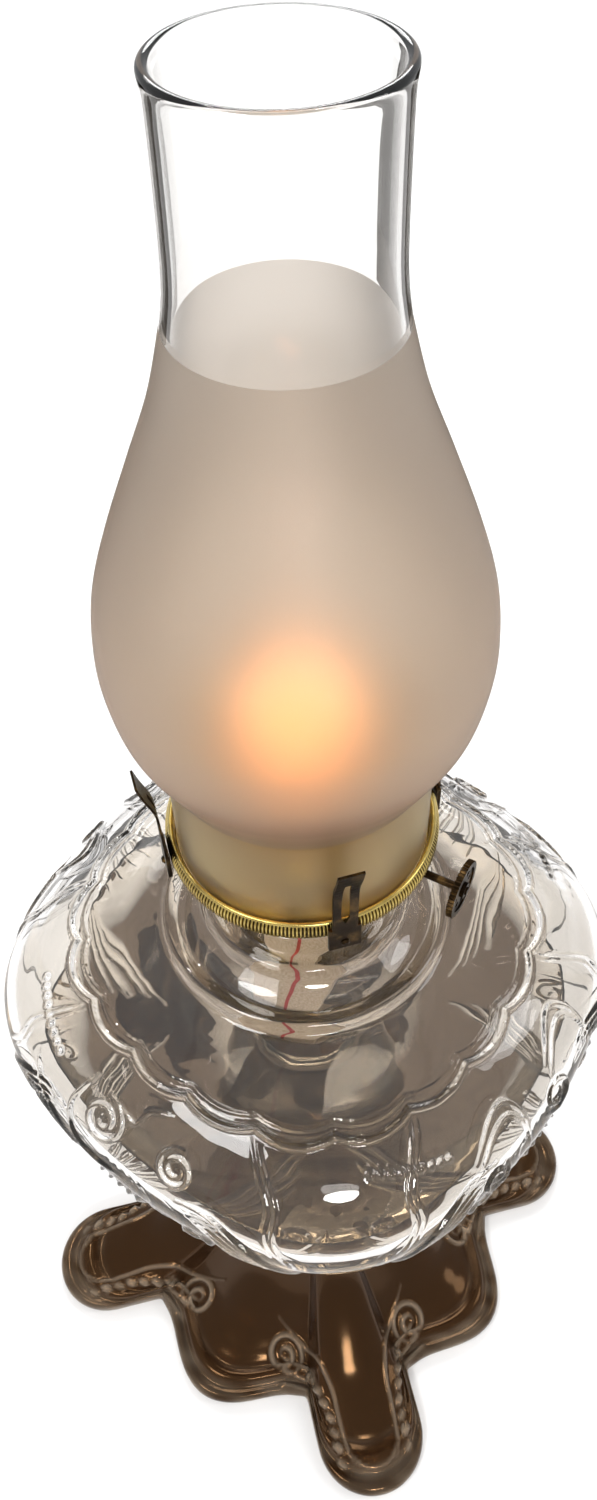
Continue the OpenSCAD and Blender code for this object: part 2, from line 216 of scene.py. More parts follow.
class Relief:
    """Raised lines on a surface: each is a run of points with a width and a height."""

    def __init__(self):
        self.points, self.widths, self.heights = [], [], []

    def line(self, points, width, height, taper=True):
        """Adds one raised line, thinner and lower towards its ends if it tapers."""
        n = len(points)
        share = np.linspace(0, 1, n)
        ends = np.clip(np.minimum(share, 1 - share) * 6, 0.25, 1) if taper else np.ones(n)
        self.points.append(points)
        self.widths.append(np.full(n, width) * (0.5 + 0.5 * ends))
        self.heights.append(np.full(n, height) * ends)

    def height_over(self, grid):
        """How far each grid point stands proud of the plain surface."""
        spots = np.vstack(self.points)
        widths, heights = np.concatenate(self.widths), np.concatenate(self.heights)
        tree = KDTree(len(spots))
        for i, p in enumerate(spots):
            tree.insert(p, i)
        tree.balance()
        reach = widths.max()
        flat = grid.reshape(-1, 3)
        out = np.zeros(len(flat))
        for n, p in enumerate(flat):
            _, i, d = tree.find(p)
            if d < reach:
                t = d / widths[i]
                if t < 1:
                    out[n] = heights[i] * (1 - t * t) ** 1.5
        return out.reshape(grid.shape[:-1])


# ---------------------------------------------------------------- materials


def material(name, **values):
    """A new Principled material with values set on the shader's own sockets."""
    m = bpy.data.materials.new(name)
    m.use_nodes = True
    shader = m.node_tree.nodes["Principled BSDF"]
    for socket, value in values.items():
        shader.inputs[socket.replace("_", " ")].default_value = value
    return m, m.node_tree.nodes, m.node_tree.links, shader


def noise(nodes, links, scale, detail=3.0, roughness=0.5, stretch=None):
    """A noise texture in the object's own coordinates."""
    where = nodes.new("ShaderNodeTexCoord")
    mapping = nodes.new("ShaderNodeMapping")
    mapping.inputs["Scale"].default_value = stretch or (1, 1, 1)
    texture = nodes.new("ShaderNodeTexNoise")
    texture.inputs["Scale"].default_value = scale
    texture.inputs["Detail"].default_value = detail
    texture.inputs["Roughness"].default_value = roughness
    links.new(where.outputs["Object"], mapping.inputs["Vector"])
    links.new(mapping.outputs["Vector"], texture.inputs["Vector"])
    return texture.outputs["Fac"]


def ramp(nodes, links, value, stops):
    """A colour ramp over a value: stops are (position, colour)."""
    node = nodes.new("ShaderNodeValToRGB")
    elements = node.color_ramp.elements
    while len(elements) < len(stops):
        elements.new(0.5)
    for element, (position, colour) in zip(elements, stops):
        element.position = position
        element.color = (*colour, 1)
    links.new(value, node.inputs["Fac"])
    return node.outputs["Color"]


def bump(nodes, links, shader, value, strength, distance):
    """Small surface relief from a value, up to a distance in metres."""
    node = nodes.new("ShaderNodeBump")
    node.inputs["Strength"].default_value = strength
    node.inputs["Distance"].default_value = distance
    links.new(value, node.inputs["Height"])
    links.new(node.outputs["Normal"], shader.inputs["Normal"])


def height_share(nodes, links, low, high):
    """0 at height low and 1 at height high, in metres, in the object's own coordinates."""
    where = nodes.new("ShaderNodeTexCoord")
    split = nodes.new("ShaderNodeSeparateXYZ")
    span = nodes.new("ShaderNodeMapRange")
    span.inputs["From Min"].default_value = low
    span.inputs["From Max"].default_value = high
    links.new(where.outputs["Object"], split.inputs["Vector"])
    links.new(split.outputs["Z"], span.inputs["Value"])
    return span.outputs["Result"]


def marked(nodes, name):
    """A per-point value that was stored on the mesh."""
    node = nodes.new("ShaderNodeAttribute")
    node.attribute_name = name
    return node.outputs["Fac"]


def blend_colour(nodes, links, factor, a, b):
    """Mixes colour a into colour b by a factor; each colour is a socket or a plain colour."""
    node = nodes.new("ShaderNodeMix")
    node.data_type = "RGBA"
    links.new(factor, node.inputs["Factor"])
    for socket, colour in (("A", a), ("B", b)):
        if isinstance(colour, tuple):
            node.inputs[socket].default_value = (*colour, 1)
        else:
            links.new(colour, node.inputs[socket])
    return node.outputs["Result"]


def calculate(nodes, links, operation, a, b):
    """A math node on two values; each is a socket or a number."""
    node = nodes.new("ShaderNodeMath")
    node.operation = operation
    for socket, value in zip(node.inputs, (a, b)):
        if isinstance(value, (int, float)):
            socket.default_value = value
        else:
            links.new(value, socket)
    return node.outputs["Value"]


def absorb(m, nodes, links, colour, density):
    """Lets the inside of the glass take up a little light, so thick edges look darker."""
    volume = nodes.new("ShaderNodeVolumeAbsorption")
    volume.inputs["Color"].default_value = (*colour, 1)
    volume.inputs["Density"].default_value = density
    links.new(volume.outputs["Volume"], nodes["Material Output"].inputs["Volume"])


def pressed_glass(
    name, low, high, stops, ridge_tint, thick_tint, density,
    clarity=1.0, shine=(1, 1, 1), haze=0.01,
):
    """Pressed glass, dark brown low down and paler upwards: a painted reflection of a brown table
    seen through and in the glass. Marked lines, as painted highlights, and inner faces are paler.
    """
    m, nodes, links, shader = material(
        name, Transmission_Weight=clarity, IOR=1.5, Roughness=haze, Specular_Tint=(*shine, 1)
    )
    share = height_share(nodes, links, low * MM, high * MM)
    # The height ramp paints the dark brown of a table seen through and reflected in the glass.
    field = ramp(nodes, links, share, stops)
    # Where the clear mark is high the paler ridge tint shows: painted highlights on raised lines
    # and rims, and the plain inner faces.
    tint = blend_colour(nodes, links, marked(nodes, "clear"), field, ridge_tint)
    links.new(tint, shader.inputs["Base Color"])
    bump(nodes, links, shader, noise(nodes, links, 110, 2.0), 0.05, 0.0004)
    absorb(m, nodes, links, thick_tint, density)
    return m


def chimney_glass():
    """Clear blown glass whose outside is acid-frosted up to a crisp line."""
    m, nodes, links, shader = material(
        "chimney_frosted", Transmission_Weight=1.0, IOR=1.46, Roughness=0.0
    )
    line_half = 0.02
    above = height_share(
        nodes, links, (FROST_TOP - line_half) * MM, (FROST_TOP + line_half) * MM
    )
    below = calculate(nodes, links, "SUBTRACT", 1.0, above)
    frost = calculate(nodes, links, "MULTIPLY", below, marked(nodes, "outer"))
    share = height_share(nodes, links, GALLERY_Z * MM, FROST_TOP * MM)
    fitter_share = FITTER_TOP / FROST_RISE
    # The frosted tint: gold at the foot paints the lit brass burner seen through the frosting,
    # darkening up to the fitter's top; above it the bulb is warm brown, a little paler upwards.
    tint = ramp(nodes, links, share, [
        (0.0, (1.0, 0.88, 0.53)), (0.10, (0.88, 0.72, 0.39)), (fitter_share, (0.50, 0.37, 0.19)),
        (fitter_share + 0.012, (0.63, 0.50, 0.38)), (0.55, (0.66, 0.53, 0.41)),
        (1.0, (0.68, 0.59, 0.50)),
    ])
    clear = (0.985, 0.985, 0.98)
    links.new(blend_colour(nodes, links, frost, clear, tint), shader.inputs["Base Color"])
    outer_rough, inner_rough = 0.42, 0.14
    rough = calculate(nodes, links, "MULTIPLY", frost, outer_rough)
    haze = calculate(nodes, links, "MULTIPLY", below, inner_rough)
    rough = calculate(nodes, links, "ADD", rough, haze)
    links.new(rough, shader.inputs["Roughness"])
    grain = calculate(nodes, links, "MULTIPLY", noise(nodes, links, 2600, 2.0), frost)
    waves = noise(nodes, links, 16, 1.0, stretch=(1, 1, 0.2))
    bump(nodes, links, shader, calculate(nodes, links, "ADD", waves, grain), 0.1, 0.0003)
    absorb(m, nodes, links, (0.36, 0.29, 0.20), 24)
    return m


def brass(name, dark, light, dull, roughness, scale=60):
    """Stamped brass: light metal with darker tarnish blotches and fine scratches."""
    m, nodes, links, shader = material(name, Metallic=1.0, Roughness=roughness)
    blotches = noise(nodes, links, scale, 6.0, 0.62)
    tarnish_and_shade = ramp(nodes, links, blotches, [(0.3, dark), (0.52, light), (0.75, dull)])
    links.new(tarnish_and_shade, shader.inputs["Base Color"])
    wear = noise(nodes, links, scale * 6, 4.0, 0.7)
    spread = nodes.new("ShaderNodeMapRange")
    spread.inputs["To Min"].default_value = roughness * 0.7
    spread.inputs["To Max"].default_value = min(1.0, roughness * 1.5)
    links.new(wear, spread.inputs["Value"])
    links.new(spread.outputs["Result"], shader.inputs["Roughness"])
    bump(nodes, links, shader, noise(nodes, links, scale * 14, 3.0, 0.6, (1, 1, 3)), 0.18, 0.0002)
    return m


# The dark brown stops are a painted reflection of a brown table, low on the font and over most of
# the base; the ridge tints are painted highlights.
GLASS_FONT = pressed_glass(
    "glass_font", low=FONT_LOW, high=GALLERY_Z - 55, stops=[
        (0, (0.55, 0.49, 0.42)), (0.07, (0.40, 0.34, 0.28)), (0.13, (0.045, 0.026, 0.015)),
        (0.37, (0.032, 0.018, 0.010)), (0.45, (0.90, 0.88, 0.86)), (1, (0.99, 0.985, 0.98)),
    ],
    ridge_tint=(0.82, 0.78, 0.72), thick_tint=(0.30, 0.28, 0.25), density=8,
)
GLASS_BASE = pressed_glass(
    "glass_base", low=0, high=STEM_TOP, stops=[
        (0, (0.055, 0.026, 0.011)), (0.30, (0.04, 0.018, 0.007)), (0.55, (0.10, 0.065, 0.04)),
        (0.75, (0.55, 0.48, 0.40)), (1, (0.80, 0.75, 0.68)),
    ],
    ridge_tint=(0.62, 0.50, 0.37), thick_tint=(0.45, 0.30, 0.16), density=10,
    clarity=0.72, shine=(0.75, 0.42, 0.20), haze=0.14,
)
CHIMNEY = chimney_glass()
BRASS = brass(
    "brass_gallery", dark=(0.13, 0.08, 0.022), light=(0.52, 0.37, 0.11), dull=(0.30, 0.20, 0.06),
    roughness=0.27,
)
BRONZE = brass(
    "bronze_dark", dark=(0.010, 0.006, 0.003), light=(0.024, 0.014, 0.006),
    dull=(0.17, 0.10, 0.035), roughness=0.36, scale=160,
)


def knurled_brass():
    """The gallery's brass, with painted shade, near black, between the ridges."""
    look = brass(
        "brass_knurled", dark=(0.16, 0.10, 0.03), light=(0.58, 0.44, 0.14),
        dull=(0.34, 0.24, 0.07), roughness=0.22,
    )
    nodes, links = look.node_tree.nodes, look.node_tree.links
    shader = nodes["Principled BSDF"]
    plain = shader.inputs["Base Color"].links[0].from_socket
    # Painted shade between the knurls: near black where the gap mark is high.
    tarnish_and_shade = blend_colour(nodes, links, marked(nodes, "gap_shade"), plain, (0.012, 0.008, 0.004))
    links.new(tarnish_and_shade, shader.inputs["Base Color"])
    return look


def oil_material():
    """Slightly amber lamp oil."""
    m, nodes, links, shader = material(
        "lamp_oil_amber", Transmission_Weight=1.0, IOR=1.44, Roughness=0.0,
        Base_Color=(0.94, 0.90, 0.84, 1),
    )
    bump(nodes, links, shader, noise(nodes, links, 20, 1.0), 0.02, 0.0005)
    absorb(m, nodes, links, (0.62, 0.54, 0.42), 9)
    return m


def plaster_material():
    """Old plaster, fine-grained."""
    m, nodes, links, shader = material("plaster", Roughness=0.9)
    grain = noise(nodes, links, 900, 5.0)
    tint = ramp(nodes, links, grain, [(0.3, (0.62, 0.58, 0.5)), (0.7, (0.85, 0.82, 0.74))])
    links.new(tint, shader.inputs["Base Color"])
    bump(nodes, links, shader, grain, 0.4, 0.0003)
    return m


def wick_material():
    """Woven cotton, charred where it burns."""
    m, nodes, links, shader = material("wick_weave", Roughness=0.9, Sheen_Weight=0.2)
    fibre = noise(nodes, links, 1200, 4.0)
    charred = height_share(nodes, links, (FLAME_LOW - 8) * MM, (FLAME_LOW - 1) * MM)
    cloth = ramp(nodes, links, fibre, [(0.25, (0.52, 0.38, 0.25)), (0.7, (0.80, 0.66, 0.50))])
    tint = blend_colour(nodes, links, charred, cloth, (0.02, 0.015, 0.012))
    links.new(tint, shader.inputs["Base Color"])
    bump(nodes, links, shader, fibre, 0.5, 0.0002)
    return m


def thread_material():
    """The red tracer thread."""
    m, nodes, links, shader = material("red_thread", Roughness=0.8)
    fibre = noise(nodes, links, 2500, 3.0)
    tint = ramp(nodes, links, fibre, [(0.3, (0.35, 0.03, 0.03)), (0.7, (0.65, 0.09, 0.07))])
    links.new(tint, shader.inputs["Base Color"])
    bump(nodes, links, shader, fibre, 0.4, 0.0001)
    return m


def flame_material():
    """Light only: blue at the wick, then orange."""
    m, nodes, links, shader = material("flame_light", Roughness=1.0, Emission_Strength=2.2)
    shader.inputs["Base Color"].default_value = (0, 0, 0, 1)
    share = height_share(nodes, links, (FLAME_LOW - 1) * MM, (FLAME_LOW + FLAME_RISE) * MM)
    glow = ramp(nodes, links, share, [
        (0, (0.10, 0.10, 0.35)), (0.14, (1.0, 0.24, 0.04)), (0.45, (1.0, 0.43, 0.16)),
        (1, (1.0, 0.32, 0.09)),
    ])
    links.new(glow, shader.inputs["Emission Color"])
    return m


# ---------------------------------------------------------------- font

# Each profile row is a plain radius, its share of the corners' swell, and a height.
FONT_OUTSIDE = [
    (17, 0, FONT_LOW), (22, 0, FONT_LOW + 3), (34, 0.1, FONT_LOW + 8),
    (60, 0.5, FONT_LOW + 21), (84, 0.8, FONT_LOW + 36), (98, 1, FONT_LOW + 51),
    (FONT_R, 1, WIDEST_Z), (99.5, 1, WIDEST_Z + 9), (92, 0.9, WIDEST_Z + 18),
    (84, 0.7, WIDEST_Z + 25), (76, 0.5, WIDEST_Z + 29), (66, 0.3, WIDEST_Z + 32.5),
    (56, 0.1, WIDEST_Z + 35), (50.5, 0, WIDEST_Z + 36.5),
]
FONT_SHOULDER = [
    (50.5, 0, WIDEST_Z + 36.5), (48.2, 0, WIDEST_Z + 37.6), (47.3, 0, WIDEST_Z + 39.6),
    (46, 0, WIDEST_Z + 41), (43.5, 0, WIDEST_Z + 41), (41.5, 0, WIDEST_Z + 40.8),
    (37.5, 0, WIDEST_Z + 42.6), (34.5, 0, WIDEST_Z + 45.3), (33.2, 0, WIDEST_Z + 47.8),
    (31.6, 0, WIDEST_Z + 49.6), (29, 0, WIDEST_Z + 49.6), (26, 0, WIDEST_Z + 49.4),
    (22.5, 0, WIDEST_Z + 50.6), (21, 0, WIDEST_Z + 52), (20.5, 0, WIDEST_Z + 54),
    (20.5, 0, FONT_TOP),
]
FONT_INSIDE = [
    (16.8, 0, FONT_TOP), (16.8, 0, WIDEST_Z + 50), (19, 0, WIDEST_Z + 46),
    (27, 0, WIDEST_Z + 43), (34, 0, WIDEST_Z + 38), (44, 0, WIDEST_Z + 33),
    (60, 0.2, WIDEST_Z + 28.5), (76, 0.5, WIDEST_Z + 23.5), (88, 0.8, WIDEST_Z + 14),
    (97, 1, WIDEST_Z), (88, 0.9, FONT_LOW + 47), (70, 0.6, FONT_LOW + 33),
    (56, 0.3, FONT_LOW + 25.5), (51.5, 0.2, FONT_LOW + 21), (46, 0.1, FONT_LOW + 18),
    (36, 0, FONT_LOW + 15.6), (18, 0, FONT_LOW + 13), (1, 0, FONT_LOW + 12.6),
]
PANEL_LOBES = 4  # swells round the font, one at each corner
SCALLOPS = 20  # in the ridge round its top
SHOULDER_RINGS = ((45.5, WIDEST_Z + 35), (31, WIDEST_Z + 44))  # radius and lowest height
MM_PER_DEGREE = 1.7  # round the font at its widest


def font_ring(radius, share, z, azimuth):
    """A point of the font's plain outside, for a profile row and an azimuth in degrees."""
    a = np.radians(azimuth)
    r = radius + share * FONT_SWELL * (np.cos(PANEL_LOBES * a) + 0.12 * np.cos(2 * PANEL_LOBES * a))
    return np.stack([r * np.cos(a), r * np.sin(a), z + 0 * a], -1)


def surface_grid(profile, cols):
    """The profile's rows swept round the axis."""
    azimuth = np.arange(cols) * 360.0 / cols
    return np.stack([font_ring(r, s, z, azimuth) for r, s, z in profile])


FONT_PROFILE = curve(FONT_OUTSIDE, 0.8)


def on_font(azimuth, z):
    """The point of the font's outside above its foot at that azimuth and height."""
    azimuth, z = np.broadcast_arrays(np.asarray(azimuth, float), np.asarray(z, float))
    r = np.interp(z, FONT_PROFILE[:, 2], FONT_PROFILE[:, 0])
    s = np.interp(z, FONT_PROFILE[:, 2], FONT_PROFILE[:, 1])
    return font_ring(r, s, z, azimuth)


def on_font_r(azimuth, radius):
    """The point of the font's upper side at that azimuth and plain radius."""
    top = FONT_PROFILE[FONT_PROFILE[:, 2] > WIDEST_Z][::-1]
    s = np.interp(radius, top[:, 0], top[:, 1])
    z = np.interp(radius, top[:, 0], top[:, 2])
    return font_ring(radius, s, z, azimuth)


def font_line(stops, step=0.4):
    """A smooth line on the font through (azimuth, height) stops."""
    to_mm = [MM_PER_DEGREE, 1.0]
    fine = curve(np.array(stops) * to_mm, 0.25) / to_mm
    return spaced(on_font(fine[:, 0], fine[:, 1]), step)


def volute(azimuth, z, size, turns, start, hand=1):
    """A spiral scroll round a point of the font, from its outer end to its eye."""
    t = np.linspace(0, 1, 260)
    angle = np.radians(start) + hand * t * turns * 2 * math.pi
    r = size * (1 - 0.86 * t)
    scroll_r, squash = 94, 0.72
    degrees_per_mm = 180 / (math.pi * scroll_r)
    scroll = on_font(azimuth + r * np.cos(angle) * degrees_per_mm, z + r * np.sin(angle) * squash)
    return spaced(scroll, 0.4)


def font_relief():
    """Every raised line on the font's outside."""
    relief = Relief()
    around = np.arange(0, 360, 0.25)
    wave = np.abs(np.sin(np.radians(SCALLOPS / 2 * (around + 90)))) ** 0.8
    relief.line(on_font_r(around, 74.9 + 2.9 * wave), 1.35, 1.5, taper=False)
    relief.line(on_font_r(around, 71.2 + 2.2 * wave), 0.75, 0.5, taper=False)
    for corner in CORNERS:
        add_corner(relief, corner)
    for centre in VOLUTE_PANELS:
        add_volute_panel(relief, centre)
    for centre in GABLE_PANELS:
        add_gable_panel(relief, centre)
    for centre in sorted(VOLUTE_PANELS + GABLE_PANELS):
        add_shell(relief, centre)
    return relief


def mirrored(stops, about, side):
    """The stops measured from an azimuth to one side of it."""
    return [(about + side * a, z) for a, z in stops]


def add_corner(relief, corner):
    """Smooth shield on a corner, framed by double lines, between two reeded leaf bands."""
    w = WIDEST_Z
    for side in (-1, 1):
        shield = [(17, w + 28), (14.2, w + 23), (12, w + 17), (12.5, w + 10), (10, w + 3)]
        beside = [(a + 1.6, z) for a, z in shield]
        relief.line(font_line(mirrored(shield, corner, side)), 1.0, 0.9)
        relief.line(font_line(mirrored(beside, corner, side)), 0.8, 0.5)
        for k in range(6):
            drop = 2.5 * k
            band = [
                (31 - 1.5 * k, w + 9 - drop * 0.5), (24 - k, w + 9.5 - drop),
                (16 - k, w + 3 - drop), (9 - 0.7 * k, w - 8 - drop),
                (4 - 0.2 * k, w - 19 - drop * 0.6),
            ]
            relief.line(font_line(mirrored(band, corner, side)), 1.25, 1.2)
        relief.line(volute(corner + side * 27, w - 6, 6.5, 1.6, 90, side), 1.3, 1.3)
        relief.line(volute(corner + side * 9.5, w - 24, 5.2, 1.4, 60, side), 1.2, 1.2)
        tail = [(36, w - 2), (30, w - 16), (20, w - 28), (10, w - 36)]
        for k in range(4):
            reed = [(a - k, z - 3.2 * k) for a, z in tail]
            relief.line(font_line(mirrored(reed, corner, side)), 1.3, 1.1)


def add_volute_panel(relief, centre):
    """Two scrolls joined by a stem, with reeds below them."""
    w = WIDEST_Z
    relief.line(volute(centre - 6, w + 15.5, 8.5, 1.9, 100, -1), 1.05, 1.15)
    relief.line(volute(centre + 12.5, w + 16.5, 6.8, 2.1, 80, 1), 1.05, 1.15)
    stem = [(-3, w + 21), (1, w + 20), (3, w + 24.5), (8, w + 26)]
    relief.line(font_line(mirrored(stem, centre, 1)), 1.0, 0.7)
    hook = [(-12, w + 23), (-14, w + 12), (-9, w + 3), (2, w + 4)]
    relief.line(font_line(mirrored(hook, centre, 1)), 1.1, 1.0)
    for k in range(4):
        drop = 5 * k
        reed = [(-27 + k, w + 14 - drop), (-20 + k, w + 6 - drop), (-8, w - 4 - drop)]
        relief.line(font_line(mirrored(reed, centre, 1)), 1.2, 1.1)


def add_gable_panel(relief, centre):
    """Two pointed gables with a scroll between them."""
    w = WIDEST_Z
    for offset, rise in ((-7, 20), (17.5, 23)):
        at, peak = centre + offset, w + rise
        gable = [
            (at - 11, peak - 7), (at - 5, peak - 1), (at, peak), (at + 2.5, peak - 6),
            (at + 2, peak - 16),
        ]
        relief.line(font_line(gable), 1.1, 1.0)
        relief.line(font_line([(a - 0.5, z - 3.6) for a, z in gable]), 1.0, 0.8)
    relief.line(volute(centre + 5, w + 7, 7.5, 1.7, 200, 1), 1.2, 1.2)
    relief.line(volute(centre - 15, w + 4, 6.0, 1.6, 20, -1), 1.2, 1.2)


def add_shell(relief, centre):
    """A small fan of reeds under the widest line, between two corners."""
    w = WIDEST_Z
    for k in range(-2, 3):
        reed = [(centre + 2.0 * k, w - 5), (centre + 3.0 * k, w - 13), (centre + 4.6 * k, w - 22)]
        relief.line(font_line(reed), 1.7, 2.3)


def bead_height(grid, spots, size):
    """How far small round beads at the given points raise each grid point."""
    out = np.zeros(grid.shape[:-1])
    for spot in spots:
        d = np.linalg.norm(grid - spot, axis=-1) / size
        out = np.maximum(out, size * 0.75 * np.sqrt(np.clip(1 - d * d, 0, 1)))
    return out


def bead_spots():
    """A string of beads along each corner's upper edge."""
    return [
        on_font(corner + 6 + 16 * t, WIDEST_Z + 24 - 5 * t)
        for corner in CORNERS for t in np.linspace(0, 1, 9)
    ]


def make_font():
    """The font's glass wall: outside with its relief, and a smoother inside."""
    cols, in_cols = 1120, 280
    outside = np.vstack([curve(FONT_OUTSIDE, 0.65), curve(FONT_SHOULDER, 0.6)[1:]])
    grid = surface_grid(outside, cols)
    normals = normals_of(grid)
    height = font_relief().height_over(grid)
    height = np.maximum(height, bead_height(grid, bead_spots(), size=1.5))
    z = grid[..., 2]
    soft = 0.10 * ripple(grid, 30, 3) + 0.02 * ripple(grid, 8, 4)
    grid = grid + normals * (height + soft * np.clip((FONT_TOP - 12 - z) / 6, 0, 1))[..., None]

    inside = surface_grid(curve(FONT_INSIDE, 1.6), in_cols)
    inside += normals_of(inside) * (0.12 * ripple(inside, 40, 5))[..., None]
    radius = np.hypot(grid[..., 0], grid[..., 1])
    ring = np.max([
        np.clip(1 - np.abs(radius - at) / 4, 0, 1) * np.clip(z - lowest, 0, 1)
        for at, lowest in SHOULDER_RINGS
    ], axis=0)
    # The clear mark paints pale highlights along the raised lines and the two shoulder rings.
    clear = np.clip(np.maximum(height / 0.9, ring * 1.6), 0, 1)
    piece = closed_vessel("font_glass", "glass", grid, inside, GLASS_FONT, clear)
    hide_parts("font")


def closed_vessel(name, body, outer, inner, look, clear):
    """A glass wall from an outer grid, bottom to mouth, and an inner grid, mouth to bottom."""
    rows, cols = outer.shape[:2]
    in_rows, in_cols = inner.shape[:2]
    start = rows * cols
    faces = grid_faces(rows, cols)
    outer_pole, inner_pole = start + in_rows * in_cols, start + in_rows * in_cols + 1
    faces += fan_faces(np.arange(cols), outer_pole, True)
    faces += grid_faces(in_rows, in_cols, start)
    faces += fan_faces(start + (in_rows - 1) * in_cols + np.arange(in_cols), inner_pole, False)
    faces += rim_faces((rows - 1) * cols, cols, start, in_cols)
    points = np.vstack([
        outer.reshape(-1, 3), inner.reshape(-1, 3),
        [[0, 0, outer[0, 0, 2]]], [[0, 0, inner[-1, 0, 2]]],
    ])
    # The clear mark carries the outside's painted highlights; the inside takes the paler tint all
    # over.
    marks = {"clear": np.concatenate([clear.ravel(), np.ones(in_rows * in_cols), [0, 1]])}
    return new_piece(name, body, points, faces, look, marks)


def rim_faces(first, cols, second, in_cols):
    """Faces that join two rings of different counts, where one count divides the other."""
    times = cols // in_cols
    faces = []
    for j in range(in_cols):
        ring = [first + (j * times + k) % cols for k in range(times + 1)]
        faces.append(ring + [second + (j + 1) % in_cols, second + j])
    return faces


# ---------------------------------------------------------------- base

NOTCH_R = 88.0  # the edge's radius between a foot and a lobe
FOOT_HALF_W = 24.5  # half a foot's width, and the radius of its round tip
BASE_TURN = 7  # azimuth of the first foot, in degrees
FOOT_TIP = FOOT_REACH / math.cos(math.radians(BASE_TURN)) - 0.2
LOBE = 14  # how far a lobe stands past the notches
LOBE_START, LOBE_SPAN = 20, 50  # in degrees from a foot's centre line


def foot_swell(off):
    """How far the base's edge stands past the notches, by the angle off the nearest foot."""
    centre = FOOT_TIP - FOOT_HALF_W
    a = np.radians(off)
    tip = centre * np.cos(a) + np.sqrt(np.clip(FOOT_HALF_W**2 - (centre * np.sin(a)) ** 2, 0, None))
    side = FOOT_HALF_W / np.maximum(np.sin(a), 0.05)
    foot = np.where(a < math.asin(FOOT_HALF_W / centre) * 0.98, tip, side)
    over_lobe = np.radians(np.clip((off - LOBE_START) * 180 / LOBE_SPAN, 0, 180))
    lobe = NOTCH_R + LOBE * np.sin(over_lobe) ** 2
    soft = 2.2
    both = np.maximum(foot, lobe) + soft * 0.55 * np.exp(-np.abs(foot - lobe) / soft)
    return np.minimum(both, FOOT_TIP) - NOTCH_R


BASE_UNDER = [
    (2, 0, 60), (24, 0.02, 51), (38, 0.12, 35), (56, 0.4, 17), (73, 0.72, 8), (79.5, 0.88, 3),
    (81.5, 0.93, 0),
]
BASE_OVER = [
    (85.5, 0.985, 0), (87.4, 1.0, 1.2), (88, 1, 3.2), (87.5, 0.995, 5.4), (85.9, 0.975, 6.8),
    (84, 0.95, 6.6), (82.9, 0.93, 6.0), (81.8, 0.915, 7.0), (80, 0.89, 9.0), (78, 0.86, 9.5),
    (76.2, 0.83, 8.7), (75.2, 0.81, 8.2), (73.2, 0.78, 9.8), (69, 0.7, 12.6), (61, 0.46, 20),
    (46, 0.18, 40), (34, 0.06, 66), (27, 0, 96), (23, 0, 132), (21.5, 0, STEM_TOP - 30),
    (23, 0, STEM_TOP - 18), (26, 0, STEM_TOP - 12), (25.5, 0, STEM_TOP - 6),
    (21, 0, STEM_TOP - 2.5), (18, 0, STEM_TOP - 0.3), (2, 0, STEM_TOP),
]


def off_foot(azimuth):
    """The angle from the nearest foot's centre line, in degrees."""
    return np.abs((azimuth - BASE_TURN + 45) % 90 - 45)


def base_grid(profile, azimuth):
    """The profile's rows swept round the axis, out to the feet and lobes."""
    a = np.radians(azimuth)
    radius = profile[:, :1] + profile[:, 1:2] * foot_swell(off_foot(azimuth))
    return np.stack([radius * np.cos(a), radius * np.sin(a), profile[:, 2:] + 0 * a], -1)


BASE_TOP_PROFILE = curve(BASE_OVER, 0.9)


def on_base(across, along, foot):
    """Points of the base's upper side, from places beside and along one foot's centre line."""
    across, along = np.asarray(across, float), np.asarray(along, float)
    radius = np.hypot(across, along)
    azimuth = np.degrees(np.arctan2(across, along))
    swell = foot_swell(off_foot(azimuth + BASE_TURN))
    top = BASE_TOP_PROFILE[6:]  # from the outer edge inwards
    z = np.array([
        np.interp(-r, -(top[:, 0] + top[:, 1] * w), top[:, 2])
        for r, w in zip(radius.ravel(), np.ravel(swell))
    ]).reshape(radius.shape)
    turn = np.radians(azimuth + BASE_TURN + 90 * foot)
    return np.stack([radius * np.cos(turn), radius * np.sin(turn), z], -1)


def base_line(stops, foot, side=1):
    """A smooth line on the base through (across, along) stops beside a foot."""
    fine = curve(np.array(stops, float), 0.4)
    return on_base(side * fine[:, 0], fine[:, 1], foot)


def base_scroll(across, along, size, turns, start, hand, foot, side):
    """A spiral scroll on the base, from its outer end to its eye."""
    t = np.linspace(0, 1, 200)
    angle = np.radians(start) + hand * t * turns * 2 * math.pi
    r = size * (1 - 0.82 * t)
    return on_base(side * (across + r * np.cos(angle)), along + r * np.sin(angle), foot)


def base_relief():
    """Scrolls and beads beside each foot's smooth tongue, and a line round its tip."""
    relief = Relief()
    tongue = [(7, 122), (11.5, 113), (12.5, 100), (13, 86), (17, 72), (25, 60), (30, 52)]
    tip = [(-11, 113), (-7, 118.6), (0, 121), (7, 118.6), (11, 113)]
    for foot in range(4):
        for side in (-1, 1):
            relief.line(base_line(tongue, foot, side), 1.3, 1.2)
            for k in range(7):
                at = 116 - 6.2 * k
                out = 15.5 + 0.25 * k + (0 if k < 4 else 1.2 * (k - 3))
                bead = [(out - 1.4, at + 2.0), (out, at), (out + 1.6, at - 2.2)]
                relief.line(base_line(bead, foot, side), 2.3, 1.9)
            relief.line(base_scroll(31, 66, 9.5, 1.7, 80, 1, foot, side), 1.7, 1.7)
            for k in range(3):
                arm = [(22 - 2.2 * k, 84 - 3 * k), (29 - k, 80 - 4.5 * k), (37 - 2 * k, 76 - 5 * k)]
                relief.line(base_line(arm, foot, side), 1.4, 1.2)
        relief.line(base_line(tip, foot), 1.2, 1.0)
    return relief


